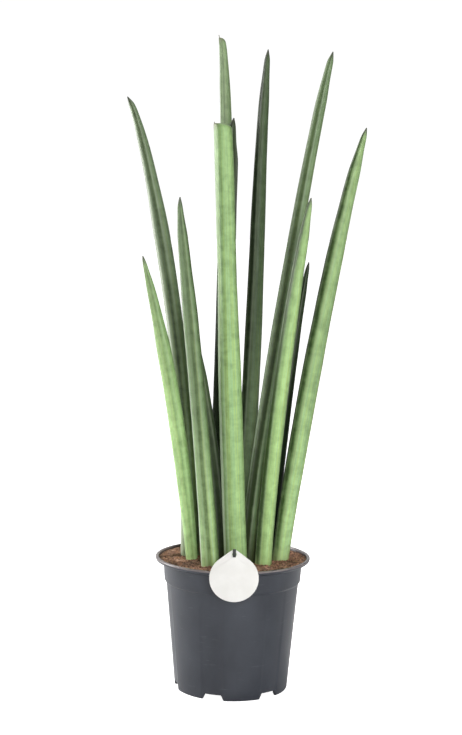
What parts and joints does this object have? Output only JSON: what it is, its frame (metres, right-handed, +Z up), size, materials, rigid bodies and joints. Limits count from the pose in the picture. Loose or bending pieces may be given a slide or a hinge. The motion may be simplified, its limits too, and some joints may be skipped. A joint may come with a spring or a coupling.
{
  "type": "potted snake plant",
  "caption": "Snake plant with tall, upright, spear-shaped fleshy leaves in a round black nursery pot with a flanged lip and notched foot; a blank drop-shaped hang tag is on the lip.",
  "frame": {"origin": "centre of the pot's floor pad, on the plane the pot stands on", "axes": "+Z up along the pot's axis; -Y towards the front, where the tag hangs; +X to the right seen from the front"},
  "size_m": [0.1857, 0.126, 0.5076],
  "materials": {
    "pot": "satin",
    "soil": "matte",
    "rhizome": "matte",
    "leaf": "satin",
    "tag": "satin",
    "tag_stake": "satin"
  },
  "bodies": {
    "root": {"pot": "pot", "soil": "soil", "rhizome": "rhizome", "leaf_01": "leaf", "leaf_02": "leaf", "leaf_03": "leaf", "leaf_04": "leaf", "leaf_05": "leaf", "leaf_06": "leaf", "leaf_07": "leaf", "leaf_08": "leaf", "leaf_09": "leaf", "leaf_10": "leaf", "leaf_11": "leaf", "leaf_12": "leaf", "tag": "tag", "tag_stake": "tag_stake"}
  },
  "joints": []
}
